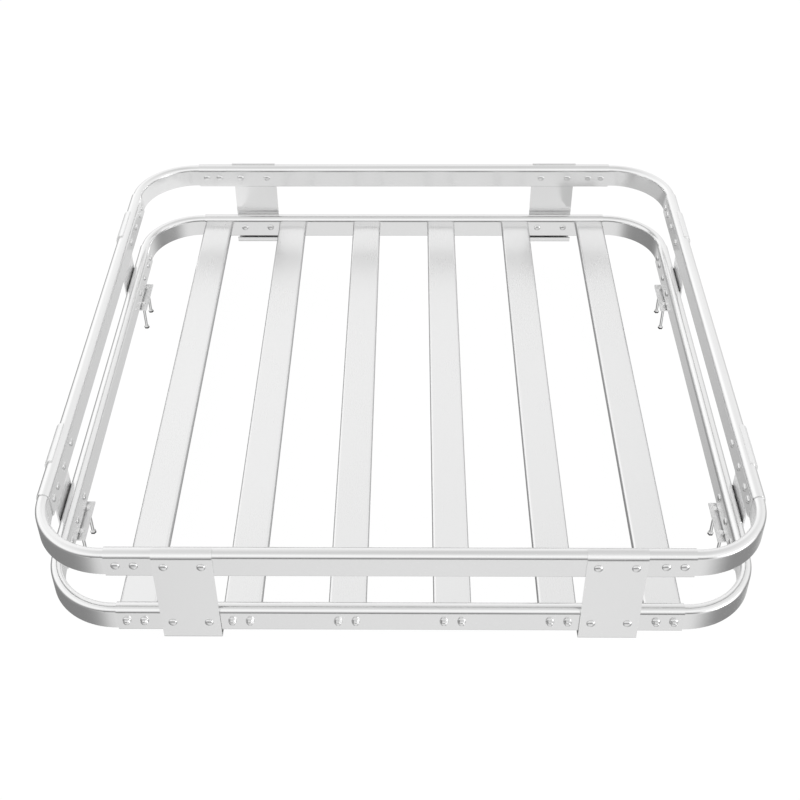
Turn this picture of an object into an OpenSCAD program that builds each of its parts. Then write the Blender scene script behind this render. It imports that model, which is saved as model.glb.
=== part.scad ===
// Roof rack for a vehicle: two stacked rounded rectangular rail rings, six floor slats,
// eight outside bracket plates and four pairs of hanging clamp bolts.
// Units are millimetres. Front is -Y, left is -X, up is +Z. The floor under the bolts is z = 0.

/* [Overall frame] */
// Overall width of the upper ring, left outer face to right outer face
frame_width = 1245; // [1100:1:1500]
// Overall depth of the upper ring, front outer face to back outer face
frame_depth = 1258; // [1100:1:1900]
// Height of the underside of the lower ring above the floor
lower_ring_height = 72; // [60:1:100]
// Clear gap between the top of the lower ring and the underside of the upper ring
ring_gap = 85; // [60:0.5:140]

/* [Rails] */
// Width of the rail section across its flat sides
rail_width = 24.5; // [20:0.5:30]
// Height of the flat sides, up to where the round top begins
rail_side_height = 40; // [36:0.5:50]
// Wall thickness of the straight rails
rail_wall = 2; // [1.5:0.1:2.5]
// Rounding of the two lower edges of the rail
rail_edge_radius = 3; // [2.8:0.1:5]

/* [Corner elbows] */
// Outside radius of the ring corner in plan
corner_radius = 135; // [90:1:180]
// Straight length of elbow that shows between the bend and the rail end
elbow_reveal = 4; // [2:1:15]
// Length of elbow that slides inside each straight rail
elbow_insert = 60; // [55:1:90]
// Sliding clearance all round between elbow and rail
elbow_clearance = 0.2; // [0.1:0.05:0.3]
// Wall thickness of the elbows
elbow_wall = 2; // [1.5:0.1:3]

/* [Floor slats] */
// Width of one slat
slat_width = 65; // [40:1:90]
// Thickness of one slat
slat_thickness = 20; // [12:0.5:22]
// Spacing between slat centres
slat_spacing = 180; // [150:1:200]
// Distance of the slat tops below the start of the round rail top
slat_top_drop = 6; // [2:0.5:10]
// Wall thickness of the slats
slat_wall = 1.8; // [1.2:0.1:2.5]
// Rounding of the slat edges
slat_edge_radius = 5.5; // [2.6:0.1:5.8]

/* [Bracket plates] */
// Width of one bracket plate
bracket_width = 100; // [60:1:140]
// Sheet thickness of the bracket plates
bracket_thickness = 3; // [2:0.5:4]
// Distance from the left or right side of the rack to the bracket centres on the front and back
bracket_inset_x = 267.5; // [230:0.5:360]
// Distance from the front or back of the rack to the bracket centres on the left and right
bracket_inset_y = 270; // [230:0.5:360]
// Drop of the underside of the front and back brackets below the lower ring
channel_drop = 15; // [14:0.5:30]
// Drop of the underside of the side brackets below the lower ring
clamp_drop = 10.5; // [10.5:0.5:30]
// Inside radius of the bracket bends
bend_radius = 2; // [1:0.5:4]
// Length of the bottom flange of the side brackets, from the inner face of the plate
clamp_flange_reach = 38; // [36:0.5:60]
// Length of the bottom flange of the front and back brackets
channel_reach = 29; // [26:0.5:45]
// Height of the turned up lip on the front and back brackets
channel_lip_height = 13; // [9:0.5:14]

/* [Rubber pads] */
// Thickness of the rubber pad between each bracket and the lower ring
pad_thickness = 1.5; // [1:0.1:3]
// Distance of the pad tops below the start of the round rail top
pad_top_drop = 0.5; // [0.5:0.5:15]

/* [Clamp bolts] */
// Shank diameter of the clamp bolts
bolt_diameter = 6; // [5:1:8]
// Distance between the two bolts of one clamp
bolt_spacing = 62; // [40:1:80]
// Distance from the inner edge of the clamp flange to the bolt centres
bolt_edge_distance = 10; // [7.5:0.5:12]
// Width across flats of the bolt heads and nuts
hexagon_width = 10; // [8:0.5:13]
// Thickness of the bolt heads
head_thickness = 4; // [3:0.5:6]
// Thickness of the nuts
nut_thickness = 5; // [4:0.5:5.5]
// Length of shank that shows above each nut
bolt_tip = 1; // [0.5:0.5:1.5]
// Clearance between a bolt and its hole in the flange, on the radius
bolt_hole_clearance = 0.3; // [0.2:0.05:0.5]

/* [Hidden] */
$fn = 96;
slat_count = 6;
section_height = rail_side_height + rail_width / 2;
upper_ring_height = lower_ring_height + section_height + ring_gap;
lower_width = frame_width - 2 * pad_thickness;
lower_depth = frame_depth - 2 * pad_thickness;
elbow_inset = rail_wall + elbow_clearance;
channel_bottom = lower_ring_height - channel_drop;
clamp_bottom = lower_ring_height - clamp_drop;
flange_top = clamp_bottom + bracket_thickness;
bracket_place_x = frame_width / 2 - bracket_inset_x;
bracket_place_y = frame_depth / 2 - bracket_inset_y;
slat_bottom = lower_ring_height + rail_side_height - slat_top_drop - slat_thickness;
pad_height = rail_side_height - pad_top_drop;
hook_height = upper_ring_height + rail_side_height;
slat_length = lower_depth - 2 * rail_width;
bolt_offset = clamp_flange_reach - bolt_edge_distance;
bolt_hole_radius = bolt_diameter / 2 + bolt_hole_clearance;
hexagon_sides = 6;
hexagon_radius = hexagon_width / 2 / cos(180 / hexagon_sides);

// Which sub-part is drawn; "all" draws the whole rack

// Solid outline of the rail section, shrunk by an inset on every side
module rail_outline(inset) {
    half = rail_width / 2 - inset;
    edge = rail_edge_radius - inset;
    round_edge = max(edge, 0.6);
    translate([-half, inset + round_edge])
        square([2 * half, rail_side_height - inset - round_edge]);
    translate([-half + round_edge, inset])
        square([2 * (half - round_edge), round_edge * 1.5]);
    for (side = [-1, 1])
        translate([side * (half - round_edge), inset + round_edge])
            circle(round_edge);
    translate([0, rail_side_height])
        circle(half);
}

// Hollow section of a straight rail
module rail_section() {
    difference() {
        rail_outline(0);
        rail_outline(rail_wall);
    }
}

// Hollow section of an elbow, small enough to slide inside the rail
module elbow_section() {
    difference() {
        rail_outline(elbow_inset);
        rail_outline(elbow_inset + elbow_wall);
    }
}

// Straight rail along X, centred over the middle of the rack, at the front of a ring
module front_rail(width, depth, height) {
    length = width - 2 * (corner_radius + elbow_reveal);
    translate([0, -depth / 2 + rail_width / 2, height])
        rotate([90, 0, 90])
            linear_extrude(height = length, center = true)
                rail_section();
}

// Straight rail along Y at the left of a ring
module left_rail(width, depth, height) {
    rotate([0, 0, -90])
        front_rail(depth, width, height);
}

// Elbow at the back right corner of a ring, with its two straight inserts
module back_right_elbow(width, depth, height) {
    straight = elbow_reveal + elbow_insert;
    sweep = corner_radius - rail_width / 2;
    translate([width / 2 - corner_radius, depth / 2 - corner_radius, height]) {
        rotate_extrude(angle = 90)
            translate([sweep, 0])
                elbow_section();
        translate([sweep, 0, 0])
            rotate([90, 0, 0])
                linear_extrude(height = straight)
                    elbow_section();
        translate([-straight, sweep, 0])
            rotate([90, 0, 90])
                linear_extrude(height = straight)
                    elbow_section();
    }
}

// One floor slat; the first is at the left
module floor_slat(number) {
    place = (number - (slat_count + 1) / 2) * slat_spacing;
    translate([place, 0, slat_bottom])
        rotate([90, 0, 0])
            linear_extrude(height = slat_length, center = true)
                difference() {
                    slat_outline(0);
                    slat_outline(slat_wall);
                }
}

// Solid outline of the slat section, shrunk by an inset on every side
module slat_outline(inset) {
    edge = slat_edge_radius - inset;
    half = slat_width / 2 - inset;
    tall = slat_thickness - 2 * inset;
    translate([-half, inset + edge])
        square([2 * half, tall - 2 * edge]);
    translate([-half + edge, inset])
        square([2 * (half - edge), tall]);
    for (side = [-1, 1])
        for (level = [inset + edge, inset + tall - edge])
            translate([side * (half - edge), level])
                circle(edge);
}

// Quarter ring in the quadrant that starts at the given angle
module quarter_ring(inner, outer, start) {
    rotate(start)
        intersection() {
            difference() {
                circle(outer);
                circle(inner);
            }
            square([outer, outer]);
        }
}

// Side view of a bracket: x runs inwards from the inner face of the plate, y is height
module bracket_side_view(bottom, reach, lip) {
    bend_outer = bend_radius + bracket_thickness;
    hook_radius = rail_width / 2;
    translate([-bracket_thickness, bottom + bend_outer])
        square([bracket_thickness, hook_height - bottom - bend_outer]);
    translate([hook_radius, hook_height])
        quarter_ring(hook_radius, hook_radius + bracket_thickness, 90);
    translate([bend_radius, bottom + bend_outer])
        quarter_ring(bend_radius, bend_outer, 180);
    if (lip == 0)
        translate([bend_radius, bottom])
            square([reach - bend_radius, bracket_thickness]);
    if (lip > 0) {
        lip_bend = reach - bend_outer;
        translate([bend_radius, bottom])
            square([lip_bend - bend_radius, bracket_thickness]);
        translate([lip_bend, bottom + bend_outer])
            quarter_ring(bend_radius, bend_outer, 270);
        translate([reach - bracket_thickness, bottom + bend_outer])
            square([bracket_thickness, lip - bend_outer]);
    }
}

// Bracket on the front of the rack, with an inner lip under the lower rail
module channel_bracket(place) {
    translate([place, -frame_depth / 2, 0])
        rotate([90, 0, 90])
            linear_extrude(height = bracket_width, center = true)
                bracket_side_view(channel_bottom, channel_reach, channel_lip_height);
}

// Bracket on the left of the rack, with a flat flange drilled for two bolts
module clamp_bracket(place) {
    translate([-frame_width / 2, place, 0])
        difference() {
            rotate([90, 0, 0])
                linear_extrude(height = bracket_width, center = true)
                    bracket_side_view(clamp_bottom, clamp_flange_reach, 0);
            for (side = [-1, 1])
                translate([bolt_offset, side * bolt_spacing / 2, clamp_bottom - 1])
                    cylinder(h = bracket_thickness + 2, r = bolt_hole_radius);
        }
}

// Rubber pad between a front bracket and the lower front rail
module front_pad(place) {
    translate([place - bracket_width / 2, -frame_depth / 2, lower_ring_height])
        cube([bracket_width, pad_thickness, pad_height]);
}

// Rubber pad between a left bracket and the lower left rail
module left_pad(place) {
    translate([-frame_width / 2, place - bracket_width / 2, lower_ring_height])
        cube([pad_thickness, bracket_width, pad_height]);
}

// Two bolts of a left clamp: heads hanging below, nuts on the flange
module clamp_bolts(place) {
    for (side = [-1, 1])
        translate([-frame_width / 2 + bolt_offset, place + side * bolt_spacing / 2, 0]) {
            cylinder(h = flange_top + nut_thickness + bolt_tip, r = bolt_diameter / 2);
            cylinder(h = head_thickness, r = hexagon_radius, $fn = hexagon_sides);
            translate([0, 0, flange_top])
                cylinder(h = nut_thickness, r = hexagon_radius, $fn = hexagon_sides);
        }
}

module upper_front_rail() { color("silver") front_rail(frame_width, frame_depth, upper_ring_height); }
module upper_back_rail() { color("silver") mirror([0, 1, 0]) front_rail(frame_width, frame_depth, upper_ring_height); }
module upper_left_rail() { color("silver") left_rail(frame_width, frame_depth, upper_ring_height); }
module upper_right_rail() { color("silver") mirror([1, 0, 0]) left_rail(frame_width, frame_depth, upper_ring_height); }

module upper_back_right_elbow() { color("gainsboro") back_right_elbow(frame_width, frame_depth, upper_ring_height); }
module upper_back_left_elbow() { color("gainsboro") mirror([1, 0, 0]) upper_back_right_elbow(); }
module upper_front_right_elbow() { color("gainsboro") mirror([0, 1, 0]) upper_back_right_elbow(); }
module upper_front_left_elbow() { color("gainsboro") mirror([0, 1, 0]) upper_back_left_elbow(); }

module lower_front_rail() { color("silver") front_rail(lower_width, lower_depth, lower_ring_height); }
module lower_back_rail() { color("silver") mirror([0, 1, 0]) front_rail(lower_width, lower_depth, lower_ring_height); }
module lower_left_rail() { color("silver") left_rail(lower_width, lower_depth, lower_ring_height); }
module lower_right_rail() { color("silver") mirror([1, 0, 0]) left_rail(lower_width, lower_depth, lower_ring_height); }

module lower_back_right_elbow() { color("gainsboro") back_right_elbow(lower_width, lower_depth, lower_ring_height); }
module lower_back_left_elbow() { color("gainsboro") mirror([1, 0, 0]) lower_back_right_elbow(); }
module lower_front_right_elbow() { color("gainsboro") mirror([0, 1, 0]) lower_back_right_elbow(); }
module lower_front_left_elbow() { color("gainsboro") mirror([0, 1, 0]) lower_back_left_elbow(); }

module slat_1() { color("whitesmoke") floor_slat(1); }
module slat_2() { color("whitesmoke") floor_slat(2); }
module slat_3() { color("whitesmoke") floor_slat(3); }
module slat_4() { color("whitesmoke") floor_slat(4); }
module slat_5() { color("whitesmoke") floor_slat(5); }
module slat_6() { color("whitesmoke") floor_slat(6); }

module front_left_bracket() { color("lightgrey") channel_bracket(-bracket_place_x); }
module front_right_bracket() { color("lightgrey") channel_bracket(bracket_place_x); }
module back_left_bracket() { color("lightgrey") mirror([0, 1, 0]) channel_bracket(-bracket_place_x); }
module back_right_bracket() { color("lightgrey") mirror([0, 1, 0]) channel_bracket(bracket_place_x); }
module left_front_bracket() { color("lightgrey") clamp_bracket(-bracket_place_y); }
module left_back_bracket() { color("lightgrey") clamp_bracket(bracket_place_y); }
module right_front_bracket() { color("lightgrey") mirror([1, 0, 0]) clamp_bracket(-bracket_place_y); }
module right_back_bracket() { color("lightgrey") mirror([1, 0, 0]) clamp_bracket(bracket_place_y); }

module front_left_pad() { color("dimgrey") front_pad(-bracket_place_x); }
module front_right_pad() { color("dimgrey") front_pad(bracket_place_x); }
module back_left_pad() { color("dimgrey") mirror([0, 1, 0]) front_pad(-bracket_place_x); }
module back_right_pad() { color("dimgrey") mirror([0, 1, 0]) front_pad(bracket_place_x); }
module left_front_pad() { color("dimgrey") left_pad(-bracket_place_y); }
module left_back_pad() { color("dimgrey") left_pad(bracket_place_y); }
module right_front_pad() { color("dimgrey") mirror([1, 0, 0]) left_pad(-bracket_place_y); }
module right_back_pad() { color("dimgrey") mirror([1, 0, 0]) left_pad(bracket_place_y); }

module left_front_clamp_bolts() { color("grey") clamp_bolts(-bracket_place_y); }
module left_back_clamp_bolts() { color("grey") clamp_bolts(bracket_place_y); }
module right_front_clamp_bolts() { color("grey") mirror([1, 0, 0]) clamp_bolts(-bracket_place_y); }
module right_back_clamp_bolts() { color("grey") mirror([1, 0, 0]) clamp_bolts(bracket_place_y); }

upper_front_rail();
upper_back_rail();
upper_left_rail();
upper_right_rail();
upper_front_left_elbow();
upper_front_right_elbow();
upper_back_left_elbow();
upper_back_right_elbow();
lower_front_rail();
lower_back_rail();
lower_left_rail();
lower_right_rail();
lower_front_left_elbow();
lower_front_right_elbow();
lower_back_left_elbow();
lower_back_right_elbow();
slat_1();
slat_2();
slat_3();
slat_4();
slat_5();
slat_6();
front_left_bracket();
front_right_bracket();
back_left_bracket();
back_right_bracket();
left_front_bracket();
left_back_bracket();
right_front_bracket();
right_back_bracket();
front_left_pad();
front_right_pad();
back_left_pad();
back_right_pad();
left_front_pad();
left_back_pad();
right_front_pad();
right_back_pad();
left_front_clamp_bolts();
left_back_clamp_bolts();
right_front_clamp_bolts();
right_back_clamp_bolts();
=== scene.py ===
import math
import bpy
import bmesh
from mathutils import Matrix, Vector


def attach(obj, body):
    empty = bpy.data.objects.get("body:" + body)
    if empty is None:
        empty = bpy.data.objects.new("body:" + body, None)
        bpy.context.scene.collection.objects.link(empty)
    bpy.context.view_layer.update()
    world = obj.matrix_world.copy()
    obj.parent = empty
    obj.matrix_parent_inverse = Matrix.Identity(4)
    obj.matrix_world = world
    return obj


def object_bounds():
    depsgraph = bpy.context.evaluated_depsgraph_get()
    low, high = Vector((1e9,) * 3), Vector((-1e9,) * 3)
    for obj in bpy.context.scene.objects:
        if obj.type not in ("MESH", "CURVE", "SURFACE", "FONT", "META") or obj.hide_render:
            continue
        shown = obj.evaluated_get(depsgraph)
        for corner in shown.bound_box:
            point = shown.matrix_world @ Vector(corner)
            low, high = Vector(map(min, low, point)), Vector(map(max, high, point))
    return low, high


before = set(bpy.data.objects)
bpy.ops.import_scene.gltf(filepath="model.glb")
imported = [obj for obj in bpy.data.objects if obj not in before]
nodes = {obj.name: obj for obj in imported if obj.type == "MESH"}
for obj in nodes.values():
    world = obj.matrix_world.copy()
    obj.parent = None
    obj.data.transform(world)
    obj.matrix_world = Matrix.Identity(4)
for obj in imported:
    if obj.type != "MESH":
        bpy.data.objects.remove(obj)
cad_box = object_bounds()
scene = bpy.context.scene
scene.view_settings.view_transform = "Standard"

# Camera
# The view looks down on the rack from the front at about 40 degrees, from just under three
# metres away, with a lens a little longer than normal.
camera = bpy.data.objects.new("camera", bpy.data.cameras.new("camera"))
camera.data.sensor_width = 36.0
camera.data.lens = 57.852
camera.data.clip_end = 60.0
camera_place = Vector((0.0186005, -2.0531885, 1.7976665))
camera_right = Vector((0.99996113, 0.00769927, -0.00429671))
camera_up = Vector((-0.00169924, 0.64646528, 0.76294152))
camera_back = Vector((0.00865177, -0.76290456, 0.64645324))
camera_turn = Matrix((camera_right, camera_up, camera_back)).transposed()
camera.matrix_world = Matrix.Translation(camera_place) @ camera_turn.to_4x4()
scene.collection.objects.link(camera)
scene.camera = camera

# White surroundings
# Plain white at strength 1 all round. The camera sees it as the background, and it sends an
# even light to the rack through the cloth of the light tent.
world = bpy.data.worlds.new("studio")
scene.world = world
world.use_nodes = True
background = world.node_tree.nodes["Background"]
background.inputs["Color"].default_value = (1.0, 1.0, 1.0, 1.0)
background.inputs["Strength"].default_value = 1.0

# Light tent
# A wide tent of diffusing cloth around the rack, which the camera doesn't see. It is brightest
# from the horizon up to 45 degrees, greyer overhead and dark low at the sides, with a darker
# gap just under the horizon in front. The polished rail tops and the screw heads show it.


def empty_material(name):
    made = bpy.data.materials.new(name)
    made.use_nodes = True
    made.node_tree.nodes.clear()
    return made


def show_surface(tree, surface):
    tree.links.new(surface, tree.nodes.new("ShaderNodeOutputMaterial").inputs["Surface"])


cloth = empty_material("tent_cloth")
cloth.cycles.emission_sampling = "NONE"
cloth_tree = cloth.node_tree


def tent_math(operation, a, b=None, c=None, clamp=False):
    made = cloth_tree.nodes.new("ShaderNodeMath")
    made.operation = operation
    made.use_clamp = clamp
    for place, value in enumerate((a, b, c)):
        if isinstance(value, (int, float)):
            made.inputs[place].default_value = value
        elif value is not None:
            cloth_tree.links.new(value, made.inputs[place])
    return made.outputs[0]


def tent_curve(source, reach, points):
    """A level that follows source, an angle from -reach to reach in degrees, through the
    given (angle, level) points."""
    ramp = cloth_tree.nodes.new("ShaderNodeValToRGB")
    stops = ramp.color_ramp.elements
    stops.remove(stops[-1])
    for index, (angle, level) in enumerate(points):
        at = (angle + reach) / (2 * reach)
        stop = stops[0] if index == 0 else stops.new(at)
        stop.position = at
        stop.color = (level, level, level, 1.0)
    share = tent_math("DIVIDE", tent_math("ADD", source, reach), 2 * reach)
    cloth_tree.links.new(share, ramp.inputs["Fac"])
    return ramp.outputs["Color"]


# Bearing is 0 in front of the rack, +90 at its right and -90 at its left. Elevation is 0 at the
# horizon and +90 overhead.
cloth_point = cloth_tree.nodes.new("ShaderNodeTexCoord").outputs["Object"]
unit = cloth_tree.nodes.new("ShaderNodeVectorMath")
unit.operation = "NORMALIZE"
cloth_tree.links.new(cloth_point, unit.inputs[0])
direction = cloth_tree.nodes.new("ShaderNodeSeparateXYZ")
cloth_tree.links.new(unit.outputs["Vector"], direction.inputs["Vector"])
degree = 180.0 / math.pi
elevation = tent_math("MULTIPLY", tent_math("ARCSINE", direction.outputs["Z"]), degree)
ahead = tent_math("MULTIPLY", direction.outputs["Y"], -1.0)
bearing = tent_math("MULTIPLY", tent_math("ARCTAN2", direction.outputs["X"], ahead), degree)

# Three cloths, each with its own levels by elevation, run into each other by bearing.
front_cloth = tent_curve(elevation, 90.0, (
    (-90.0, 0.72), (-72.0, 0.80), (-56.0, 0.86), (-40.0, 0.86), (-31.0, 0.90), (-26.0, 0.72),
    (-20.0, 0.20), (-12.0, 0.20), (-6.0, 0.38), (0.0, 0.60), (8.0, 0.88), (16.0, 1.06), (26.0, 1.14),
    (36.0, 1.08), (48.0, 0.92), (58.0, 0.81), (68.0, 0.74), (80.0, 0.72)))
side_cloth = tent_curve(elevation, 90.0, (
    (-90.0, 0.30), (-45.0, 0.285), (-38.0, 0.30), (-31.0, 0.34), (-18.0, 0.32), (-8.0, 0.45),
    (0.0, 0.85), (6.0, 1.04), (25.0, 1.08), (40.0, 1.00), (60.0, 0.88), (75.0, 0.78), (90.0, 0.73)))
back_cloth = tent_curve(elevation, 90.0, (
    (-90.0, 0.42), (-60.0, 0.50), (-44.0, 0.66), (-34.0, 0.68), (-26.0, 0.82), (-16.0, 0.98),
    (8.0, 1.00), (20.0, 1.05), (36.0, 1.06), (42.0, 1.00), (48.0, 0.94), (60.0, 0.93),
    (68.0, 0.83), (76.0, 0.76), (90.0, 0.73)))
front_share = tent_curve(bearing, 180.0, (
    (-180.0, 0.0), (-66.0, 0.0), (-54.0, 0.06), (-46.0, 0.18), (-38.0, 0.38), (-30.0, 0.70),
    (-20.0, 0.96), (-12.0, 1.0), (22.0, 1.0), (30.0, 0.92), (40.0, 0.64), (50.0, 0.34),
    (60.0, 0.10), (70.0, 0.0), (180.0, 0.0)))
back_share = tent_curve(bearing, 180.0, (
    (-180.0, 1.0), (-170.0, 0.98), (-160.0, 0.82), (-147.0, 0.42), (-130.0, 0.04), (-120.0, 0.0),
    (102.0, 0.0), (112.0, 0.07), (124.0, 0.30), (132.0, 0.52), (142.0, 0.84), (158.0, 0.97),
    (170.0, 1.0), (180.0, 1.0)))
not_front = tent_math("SUBTRACT", 1.0, front_share)
side_share = tent_math("SUBTRACT", not_front, back_share, clamp=True)
level = tent_math("MULTIPLY", front_cloth, front_share)
level = tent_math("MULTIPLY_ADD", back_cloth, back_share, level)
level = tent_math("MULTIPLY_ADD", side_cloth, side_share, level)


def tent_patch(bearings, elevations):
    """A patch of the tent, 1 inside and 0 outside. Each set of four angles says where the patch
    starts, is full, starts to fade and ends."""
    sides = []
    for source, reach, (start, full, fade, end) in (
            (bearing, 180.0, bearings), (elevation, 90.0, elevations)):
        sides.append(tent_curve(source, reach, (
            (-reach, 0.0), (start, 0.0), (full, 1.0), (fade, 1.0), (end, 0.0), (reach, 0.0))))
    return tent_math("MULTIPLY", sides[0], sides[1])


# A bright card stands low at the right. A small card in it is much brighter and puts a white
# spot on the screws. A flag takes a little light away low at the right of the back.
right_card = tent_patch((24.0, 38.0, 80.0, 96.0), (-30.0, -22.0, 2.0, 10.0))
screw_card = tent_patch((44.0, 52.0, 68.0, 76.0), (-20.0, -14.0, -2.0, 4.0))
back_flag = tent_patch((124.0, 133.0, 150.0, 158.0), (-23.0, -17.0, -3.0, 3.0))
for patch, strength in ((right_card, 0.85), (screw_card, 3.0), (back_flag, -0.15)):
    level = tent_math("MULTIPLY_ADD", patch, strength, level)

# The cloth isn't evenly pale all round: one tint by bearing holds above the horizon and another
# below it, and they run into each other over 24 degrees.
high_tint = tent_curve(bearing, 180.0, (
    (-180.0, 1.0), (-163.0, 1.03), (-148.0, 1.14), (-130.0, 1.08), (-60.0, 1.04), (-20.0, 1.0),
    (30.0, 1.0), (90.0, 0.96), (150.0, 0.93), (168.0, 0.99), (180.0, 1.0)))
low_tint = tent_curve(bearing, 180.0, (
    (-180.0, 1.0), (-165.0, 0.92), (-150.0, 0.66), (-120.0, 0.85), (-60.0, 0.95), (0.0, 1.0),
    (60.0, 1.0), (140.0, 1.02), (160.0, 1.06), (180.0, 1.0)))
tint_change = 24.0
raised = tent_math("MULTIPLY_ADD", elevation, 1.0 / tint_change, 0.5, clamp=True)
lowered = tent_math("SUBTRACT", 1.0, raised)
tint = tent_math("MULTIPLY", high_tint, raised)
tint = tent_math("MULTIPLY_ADD", low_tint, lowered, tint)
glow = cloth_tree.nodes.new("ShaderNodeEmission")
cloth_tree.links.new(tent_math("MULTIPLY", level, tint), glow.inputs["Color"])
show_surface(cloth_tree, glow.outputs["Emission"])

tent_radius = 14.0
tent_mesh = bpy.data.meshes.new("tent")
shape = bmesh.new()
bmesh.ops.create_icosphere(shape, subdivisions=4, radius=tent_radius)
shape.to_mesh(tent_mesh)
shape.free()
tent_mesh.materials.append(cloth)
tent = bpy.data.objects.new("tent", tent_mesh)
scene.collection.objects.link(tent)
tent.visible_camera = False
tent.visible_shadow = False

# Corner cards
# Small lit cards lie flat between the heights of the two rings, around the back corners. They
# are clear from below, so little but the polished inner faces of the upper ring near its back
# corners shows them, and they keep those faces light.
card_height = 0.140


def lay_card(name, side, strength, outline):
    """A card at the left, side -1, or at the right, side 1. outline runs anticlockwise at the
    right."""
    mesh = bpy.data.meshes.new(f"{name}_corner_card")
    points = [(side * x, y, card_height) for x, y in outline]
    around = list(range(len(points)))
    mesh.from_pydata(points, [], [around if side > 0 else around[::-1]])
    card = bpy.data.objects.new(f"{name}_corner_card", mesh)
    scene.collection.objects.link(card)
    card.visible_camera = False
    card.visible_diffuse = False
    card.visible_shadow = False
    lit = empty_material(f"{name}_card_lit")
    lit.cycles.emission_sampling = "NONE"
    tree = lit.node_tree
    upper_face = tree.nodes.new("ShaderNodeEmission")
    upper_face.inputs["Strength"].default_value = strength
    under_face = tree.nodes.new("ShaderNodeBsdfTransparent")
    from_below = tree.nodes.new("ShaderNodeNewGeometry").outputs["Backfacing"]
    which = tree.nodes.new("ShaderNodeMixShader")
    tree.links.new(from_below, which.inputs["Fac"])
    tree.links.new(upper_face.outputs["Emission"], which.inputs[1])
    tree.links.new(under_face.outputs["BSDF"], which.inputs[2])
    show_surface(tree, which.outputs["Shader"])
    mesh.materials.append(lit)


left_outline = ((0.385, 0.47), (0.53, 0.47), (0.545, 0.60), (0.545, 0.68), (0.41, 0.68), (0.385, 0.60))
right_outline = (
    (0.385, 0.47), (0.475, 0.47), (0.475, 0.575), (0.482, 0.60), (0.482, 0.68), (0.41, 0.68),
    (0.385, 0.60))
far_outline = ((0.483, 0.58), (0.549, 0.60), (0.549, 0.69), (0.483, 0.69))
edge_outline = ((0.549, 0.44), (0.588, 0.44), (0.588, 0.58), (0.549, 0.58))
lay_card("left", -1, 0.93, left_outline)
lay_card("right", 1, 0.60, right_outline)
lay_card("right_far", 1, 0.44, far_outline)
lay_card("left_edge", -1, 0.62, edge_outline)
lay_card("right_edge", 1, 0.50, edge_outline)

# Glass table
# The rack stands on a clear table over the tent's floor. The camera sees the table as the same
# white as the background, with a trace of the rack's shadow, and the metal sees through it.
table_reach = 9.0
paper_tone = 0.95
camera_white = 1.03
white_share = 0.93
paper = empty_material("floor_paper")
paper_tree = paper.node_tree
matt = paper_tree.nodes.new("ShaderNodeBsdfDiffuse")
matt.inputs["Color"].default_value = (paper_tone, paper_tone, paper_tone, 1.0)
white = paper_tree.nodes.new("ShaderNodeEmission")
white.inputs["Strength"].default_value = camera_white
clear = paper_tree.nodes.new("ShaderNodeBsdfTransparent")
ray = paper_tree.nodes.new("ShaderNodeLightPath")
shaded = paper_tree.nodes.new("ShaderNodeMixShader")
shaded.inputs["Fac"].default_value = white_share
paper_tree.links.new(matt.outputs["BSDF"], shaded.inputs[1])
paper_tree.links.new(white.outputs["Emission"], shaded.inputs[2])
by_camera = paper_tree.nodes.new("ShaderNodeMixShader")
paper_tree.links.new(ray.outputs["Is Camera Ray"], by_camera.inputs["Fac"])
paper_tree.links.new(matt.outputs["BSDF"], by_camera.inputs[1])
paper_tree.links.new(shaded.outputs["Shader"], by_camera.inputs[2])
sharp = paper_tree.nodes.new("ShaderNodeMath")
sharp.operation = "MAXIMUM"
paper_tree.links.new(ray.outputs["Is Glossy Ray"], sharp.inputs[0])
paper_tree.links.new(ray.outputs["Is Transmission Ray"], sharp.inputs[1])
by_gloss = paper_tree.nodes.new("ShaderNodeMixShader")
paper_tree.links.new(sharp.outputs[0], by_gloss.inputs["Fac"])
paper_tree.links.new(by_camera.outputs["Shader"], by_gloss.inputs[1])
paper_tree.links.new(clear.outputs["BSDF"], by_gloss.inputs[2])
show_surface(paper_tree, by_gloss.outputs["Shader"])
table_corners = [(x * table_reach, y * table_reach, 0) for x, y in ((-1, -1), (1, -1), (1, 1), (-1, 1))]
floor_mesh = bpy.data.meshes.new("floor")
floor_mesh.from_pydata(table_corners, [], [(0, 1, 2, 3)])
floor_mesh.materials.append(paper)
floor = bpy.data.objects.new("floor", floor_mesh)
scene.collection.objects.link(floor)

# Rails
# Hollow extruded aluminium tubes with flat sides and a round top, clear anodised, four to a
# ring. Faint die lines run along each tube, and the anodising varies a little from place to
# place. Two screws at each end hold a rail on its elbow.


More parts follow.
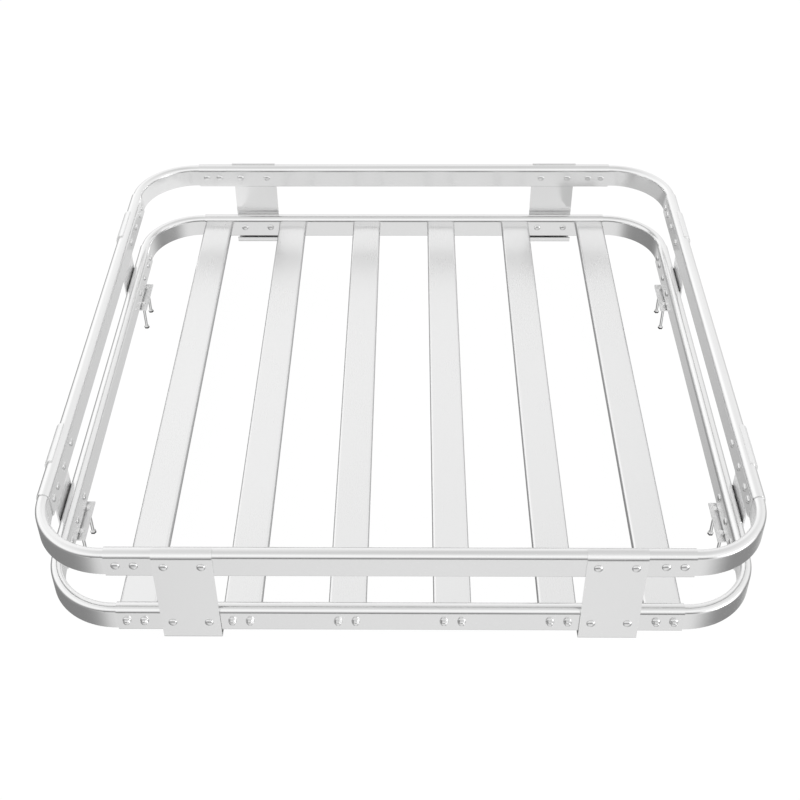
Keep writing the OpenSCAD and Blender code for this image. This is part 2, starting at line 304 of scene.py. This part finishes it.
def build_metal_grain():
    """Tone and roughness from fine lines mixed with broad patches, and bump height from the
    lines alone."""
    line_share = 0.35
    patch_size = 6.0
    mix_low, mix_high = 0.3, 0.7
    group = bpy.data.node_groups.new("metal_grain", "ShaderNodeTree")
    for label, kind, value in (
            ("Stretch", "NodeSocketVector", (1.0, 1.0, 1.0)), ("Line Size", "NodeSocketFloat", 900.0),
            ("Tone Low", "NodeSocketFloat", 0.83), ("Tone High", "NodeSocketFloat", 0.85),
            ("Roughness Low", "NodeSocketFloat", 0.16), ("Roughness High", "NodeSocketFloat", 0.20)):
        socket = group.interface.new_socket(name=label, in_out="INPUT", socket_type=kind)
        socket.default_value = value
    for label, kind in (
            ("Tone", "NodeSocketColor"), ("Roughness", "NodeSocketFloat"), ("Height", "NodeSocketFloat")):
        group.interface.new_socket(name=label, in_out="OUTPUT", socket_type=kind)
    add = group.nodes.new
    link = group.links.new
    entry = add("NodeGroupInput")
    leave = add("NodeGroupOutput")
    spot = add("ShaderNodeTexCoord")
    drawn_out = add("ShaderNodeVectorMath")
    drawn_out.operation = "MULTIPLY"
    link(spot.outputs["Object"], drawn_out.inputs[0])
    link(entry.outputs["Stretch"], drawn_out.inputs[1])
    lines = add("ShaderNodeTexNoise")
    lines.inputs["Detail"].default_value = 2.0
    link(drawn_out.outputs["Vector"], lines.inputs["Vector"])
    link(entry.outputs["Line Size"], lines.inputs["Scale"])
    patches = add("ShaderNodeTexNoise")
    patches.inputs["Scale"].default_value = patch_size
    patches.inputs["Detail"].default_value = 3.0
    link(spot.outputs["Object"], patches.inputs["Vector"])
    patch_part = add("ShaderNodeMath")
    patch_part.operation = "MULTIPLY"
    patch_part.inputs[1].default_value = 1.0 - line_share
    link(patches.outputs["Fac"], patch_part.inputs[0])
    mixed = add("ShaderNodeMath")
    mixed.operation = "MULTIPLY_ADD"
    mixed.inputs[1].default_value = line_share
    link(lines.outputs["Fac"], mixed.inputs[0])
    link(patch_part.outputs[0], mixed.inputs[2])
    for target in ("Tone", "Roughness"):
        span = add("ShaderNodeMapRange")
        span.inputs["From Min"].default_value = mix_low
        span.inputs["From Max"].default_value = mix_high
        link(mixed.outputs[0], span.inputs["Value"])
        link(entry.outputs[f"{target} Low"], span.inputs["To Min"])
        link(entry.outputs[f"{target} High"], span.inputs["To Max"])
        link(span.outputs["Result"], leave.inputs[target])
    link(lines.outputs["Fac"], leave.inputs["Height"])
    return group


metal_grain = build_metal_grain()


def grained(name, tone, roughness, stretch=(1.0, 1.0, 1.0), line_size=900.0, depth=0.006,
            metallic=1.0, edge_tint=1.0):
    """A grained finish, metal unless metallic says otherwise. tone and roughness are (low, high)
    pairs, a small stretch draws the lines out along that axis, depth is the strength of the bump,
    and an edge_tint under 1 darkens metal that is seen at a low angle."""
    made = bpy.data.materials.new(name)
    made.use_nodes = True
    inner = made.node_tree
    shader = inner.nodes["Principled BSDF"]
    shader.inputs["Metallic"].default_value = metallic
    shader.inputs["Specular Tint"].default_value = (edge_tint, edge_tint, edge_tint, 1.0)
    grain = inner.nodes.new("ShaderNodeGroup")
    grain.node_tree = metal_grain
    for label, value in (
            ("Stretch", stretch), ("Line Size", line_size), ("Tone Low", tone[0]),
            ("Tone High", tone[1]), ("Roughness Low", roughness[0]), ("Roughness High", roughness[1])):
        grain.inputs[label].default_value = value
    bump = inner.nodes.new("ShaderNodeBump")
    bump.inputs["Strength"].default_value = depth
    bump.inputs["Distance"].default_value = 0.001
    inner.links.new(grain.outputs["Tone"], shader.inputs["Base Color"])
    inner.links.new(grain.outputs["Roughness"], shader.inputs["Roughness"])
    inner.links.new(grain.outputs["Height"], bump.inputs["Height"])
    inner.links.new(bump.outputs["Normal"], shader.inputs["Normal"])
    return made


def dress(name, material):
    slots = nodes[name].data.materials
    slots.clear()
    slots.append(material)


anodised_tone = (0.83, 0.85)
anodised_roughness = (0.16, 0.20)
rail_along_x = grained("rail_metal_x", anodised_tone, anodised_roughness,
                       stretch=(0.02, 1.0, 1.0), edge_tint=0.8)
rail_along_y = grained("rail_metal_y", anodised_tone, anodised_roughness, stretch=(1.0, 0.02, 1.0))
for ring in ("upper", "lower"):
    for side in ("front", "back"):
        dress(f"{ring}_{side}_rail", rail_along_x)
    for side in ("left", "right"):
        dress(f"{ring}_{side}_rail", rail_along_y)

# Corner elbows
# Bent from a smaller aluminium tube of the same section that slides inside the straight rails
# and is screwed to them, so a thin step shows where each straight rail ends.
elbow_metal = grained("elbow_metal", anodised_tone, anodised_roughness, line_size=500.0)
for ring in ("upper", "lower"):
    for end in ("front", "back"):
        for side in ("left", "right"):
            dress(f"{ring}_{end}_{side}_elbow", elbow_metal)

# Floor slats
# Six flat rectangular aluminium tubes with rounded edges, satin anodised. They lie between the
# front and back rails of the lower ring and are bolted to them at both ends.
slat_count = 6
slat_metal = grained("slat_metal", (0.84, 0.86), (0.26, 0.30), stretch=(1.0, 0.02, 1.0), edge_tint=0.5)
for number in range(1, slat_count + 1):
    dress(f"slat_{number}", slat_metal)

# Bracket plates
# Eight plates folded from aluminium sheet. Each hooks over the upper rail, drops down outside
# both rails and turns in under the lower rail. Those at the left and right get a lighter, rougher,
# partly matt copy of the same metal: painted light that keeps their plates and flanges light
# beside the dark slit at the lower rail.
bracket_places = [(side, end) for side in ("front", "back") for end in ("left", "right")]
bracket_places += [(side, end) for side in ("left", "right") for end in ("front", "back")]
bracket_metal = grained("bracket_metal", (0.85, 0.87), (0.20, 0.24), line_size=700.0)
# Painted light: a lighter, partly matt copy of the bracket metal for the left and right brackets.
side_bracket_lit_metal = grained("side_bracket_lit_metal", (0.87, 0.89), (0.28, 0.32), line_size=700.0,
                             metallic=0.6)
for side, end in bracket_places:
    across = side in ("front", "back")
    dress(f"{side}_{end}_bracket", bracket_metal if across else side_bracket_lit_metal)

# Black pads
# Thin matt strips between each bracket and the lower rail, cut from flat sheet and pinched in
# place by the bracket. Their black is painted shade for the dark slit between plate and rail.
# Painted shade: near-black matt strips stand for the dark slit between plate and rail.
slit_shade_black = grained("pad_slit_shade", (0.035, 0.050), (0.75, 0.9), line_size=1500.0, depth=0.2, metallic=0.0)
for side, end in bracket_places:
    dress(f"{side}_{end}_pad", slit_shade_black)

# Clamp bolts
# Zinc plated hexagon bolts that hang from the flanges of the side brackets, each with a nut near
# its tip. Painted shade darkens the sides of the hanging heads almost to black in the lowest few
# millimetres, by the table.
zinc = grained("zinc", (0.84, 0.88), (0.12, 0.18), line_size=1500.0)
# Painted shade: below these heights above the table the zinc's colour is multiplied down to this tone.
painted_shade_heights = (0.0034, 0.0039)
painted_shade_tone = 0.06
inner = zinc.node_tree
bolt_point = inner.nodes.new("ShaderNodeSeparateXYZ")
inner.links.new(inner.nodes.new("ShaderNodeTexCoord").outputs["Object"], bolt_point.inputs["Vector"])
painted_shade = inner.nodes.new("ShaderNodeMapRange")
painted_shade.inputs["From Min"].default_value = painted_shade_heights[0]
painted_shade.inputs["From Max"].default_value = painted_shade_heights[1]
painted_shade.inputs["To Min"].default_value = painted_shade_tone
inner.links.new(bolt_point.outputs["Z"], painted_shade.inputs["Value"])
darkened = inner.nodes.new("ShaderNodeMix")
darkened.data_type = "RGBA"
darkened.blend_type = "MULTIPLY"
darkened.inputs["Factor"].default_value = 1.0
shader = inner.nodes["Principled BSDF"]
clean_tone = shader.inputs["Base Color"].links[0].from_socket
inner.links.new(clean_tone, darkened.inputs["A"])
inner.links.new(painted_shade.outputs["Result"], darkened.inputs["B"])
inner.links.new(darkened.outputs["Result"], shader.inputs["Base Color"])
for side in ("left", "right"):
    for end in ("front", "back"):
        dress(f"{side}_{end}_clamp_bolts", zinc)

# Dome screws
# Smooth low steel domes, plated bright, at every rail joint and in every bracket. They sit on
# the outside of the rails and plates, and again on the inside of the rails.


def build_heads_tree():
    """Geometry nodes that stand a head on every point and turn it to the point's outward
    direction."""
    tree = bpy.data.node_groups.new("heads_on_points", "GeometryNodeTree")
    for label, kind in (
            ("Geometry", "NodeSocketGeometry"), ("Head", "NodeSocketObject"),
            ("Head Width", "NodeSocketFloat"), ("Head Height", "NodeSocketFloat"),
            ("Finish", "NodeSocketMaterial")):
        tree.interface.new_socket(name=label, in_out="INPUT", socket_type=kind)
    tree.interface.new_socket(name="Geometry", in_out="OUTPUT", socket_type="NodeSocketGeometry")
    add = tree.nodes.new
    link = tree.links.new
    entry = add("NodeGroupInput")
    leave = add("NodeGroupOutput")
    head = add("GeometryNodeObjectInfo")
    link(entry.outputs["Head"], head.inputs["Object"])
    outward = add("GeometryNodeInputNamedAttribute")
    outward.data_type = "FLOAT_VECTOR"
    outward.inputs["Name"].default_value = "outward"
    aim = add("FunctionNodeAlignRotationToVector")
    aim.axis = "Z"
    link(outward.outputs["Attribute"], aim.inputs["Vector"])
    size = add("ShaderNodeCombineXYZ")
    link(entry.outputs["Head Width"], size.inputs["X"])
    link(entry.outputs["Head Width"], size.inputs["Y"])
    link(entry.outputs["Head Height"], size.inputs["Z"])
    stand = add("GeometryNodeInstanceOnPoints")
    link(entry.outputs["Geometry"], stand.inputs["Points"])
    link(head.outputs["Geometry"], stand.inputs["Instance"])
    link(aim.outputs["Rotation"], stand.inputs["Rotation"])
    link(size.outputs["Vector"], stand.inputs["Scale"])
    real = add("GeometryNodeRealizeInstances")
    link(stand.outputs["Instances"], real.inputs["Geometry"])
    paint = add("GeometryNodeSetMaterial")
    link(real.outputs["Geometry"], paint.inputs["Geometry"])
    link(entry.outputs["Finish"], paint.inputs["Material"])
    link(paint.outputs["Geometry"], leave.inputs["Geometry"])
    return tree


heads_tree = build_heads_tree()


def one_head(name, outline, sides):
    """A closed head 1 wide and 1 tall. outline is (radius, height) pairs from the base rim to the
    top, and sides is 6 for a hexagon and many for a round head."""
    shape = bmesh.new()
    rings = []
    for radius, height in outline:
        ring = []
        for k in range(sides):
            angle = math.tau * k / sides
            ring.append(shape.verts.new((radius * math.cos(angle), radius * math.sin(angle), height)))
        rings.append(ring)
    for lower, upper in zip(rings, rings[1:]):
        for k in range(sides):
            after = (k + 1) % sides
            shape.faces.new((lower[k], lower[after], upper[after], upper[k]))
    shape.faces.new(list(reversed(rings[0])))
    shape.faces.new(rings[-1])
    mesh = bpy.data.meshes.new(name)
    shape.to_mesh(mesh)
    shape.free()
    made = bpy.data.objects.new(name, mesh)
    scene.collection.objects.link(made)
    return made


def set_heads(name, head, places, width, tall, finish, smooth=True):
    """places is a list of (point, outward direction) pairs, in metres."""
    mesh = bpy.data.meshes.new(name)
    mesh.from_pydata([point for point, _ in places], [], [])
    facing = mesh.attributes.new("outward", "FLOAT_VECTOR", "POINT")
    for index, (_, out) in enumerate(places):
        facing.data[index].vector = out
    piece = bpy.data.objects.new(name, mesh)
    scene.collection.objects.link(piece)
    modifier = piece.modifiers.new("heads", "NODES")
    modifier.node_group = heads_tree
    sockets = heads_tree.interface.items_tree
    for label, value in (
            ("Head", head), ("Head Width", width), ("Head Height", tall), ("Finish", finish)):
        modifier[sockets[label].identifier] = value
    bpy.context.view_layer.update()
    seen = piece.evaluated_get(bpy.context.evaluated_depsgraph_get())
    finished = bpy.data.meshes.new_from_object(seen)
    piece.modifiers.clear()
    piece.data = finished
    finished.name = name
    for face in finished.polygons:
        face.use_smooth = smooth
    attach(piece, "root")


# half_width and half_depth reach from the middle of the rack to the outer faces of the upper
# rails. The lower rails lie a pad's thickness further in. screw_level is above a ring's underside.
bracket_thickness = 0.003
half_width = round(cad_box[1][0], 5) - bracket_thickness
half_depth = round(cad_box[1][1], 5) - bracket_thickness
rail_width = 0.0245
pad_thickness = 0.0015
upper_ring_bottom = 0.20925
lower_ring_bottom = 0.072
screw_level = 0.025
screw_rows = ((upper_ring_bottom + screw_level, 0.0), (lower_ring_bottom + screw_level, pad_thickness))

# The two screws of a joint lie at these distances from the outer face round the corner. Those of
# a bracket lie to each side of its middle.
joint_screws = (0.1575, 0.1875)
bracket_x = 0.355
bracket_y = 0.359
bracket_screw = 0.031


def through_rails(x_side, y_side, x, y, level, outside, inset):
    """The screws of the front or back rail at x and of the left or right rail at y, each with a
    head outside and one on the inner face. x_side and y_side are -1 or 1."""
    places = []
    for from_face, way in ((outside, 1), (-inset - rail_width, -1)):
        places.append(((x, y_side * (half_depth + from_face), level), (0, y_side * way, 0)))
    for from_face, way in ((outside, 1), (-inset - rail_width, -1)):
        places.append(((x_side * (half_width + from_face), y, level), (x_side * way, 0, 0)))
    return places


dome_places = []
for level, inset in screw_rows:
    for x_side, y_side in ((-1, -1), (-1, 1), (1, -1), (1, 1)):
        for along in joint_screws:
            x = x_side * (half_width - along)
            y = y_side * (half_depth - along)
            dome_places += through_rails(x_side, y_side, x, y, level, -inset, inset)
        for step in (-bracket_screw, bracket_screw):
            x = x_side * bracket_x + step
            y = y_side * bracket_y + step
            dome_places += through_rails(x_side, y_side, x, y, level, bracket_thickness, inset)

dome_metal = grained("dome_metal", (0.80, 0.83), (0.22, 0.26), line_size=1500.0)
dome_width = 0.0148
dome_tall = 0.0036
dome_sides = 28
rim = 0.12
arc_steps = 10
top_radius = 0.012
dome_outline = [(0.5, 0.0), (0.5, rim)]
for k in range(1, arc_steps):
    angle = math.pi / 2 * k / arc_steps
    dome_outline.append((0.5 * math.cos(angle), rim + (1.0 - rim) * math.sin(angle)))
dome_outline.append((top_radius, 1.0))
dome = one_head("dome_head", dome_outline, dome_sides)
set_heads("dome_screws", dome, dome_places, dome_width, dome_tall, dome_metal)
bpy.data.objects.remove(dome)

# Slat bolts
# Steel hexagon bolts with washers, plated like the domes. They go through the front and back rails
# of the lower ring into the ends of the slats, two to a slat end.
slat_spacing = 0.180
bolt_step = 0.015
bolt_level = 0.0960
washer_width = 0.0145
washer_thickness = 0.0014
washer_sides = 32
hexagon_width = 0.0122
hexagon_tall = 0.0058
washer_places = []
for number in range(slat_count):
    for step in (-bolt_step, bolt_step):
        for y_side in (-1, 1):
            x = (number - (slat_count - 1) / 2) * slat_spacing + step
            washer_places.append(((x, y_side * (half_depth - pad_thickness), bolt_level), (0, y_side, 0)))
washer = one_head("washer", [(0.5, 0.0), (0.5, 0.7), (0.46, 1.0)], washer_sides)
set_heads("slat_washers", washer, washer_places, washer_width, washer_thickness, dome_metal,
          smooth=False)
bolt_places = []
for (x, y, z), out in washer_places:
    bolt_places.append(((x, y + out[1] * washer_thickness, z), out))
hexagon_outline = [(0.5, 0.0), (0.5, 0.66), (0.46, 0.80), (0.36, 0.92), (0.20, 1.0)]
hexagon = one_head("hexagon_head", hexagon_outline, 6)
set_heads("slat_bolts", hexagon, bolt_places, hexagon_width, hexagon_tall, dome_metal, smooth=False)
bpy.data.objects.remove(hexagon)
bpy.data.objects.remove(washer)
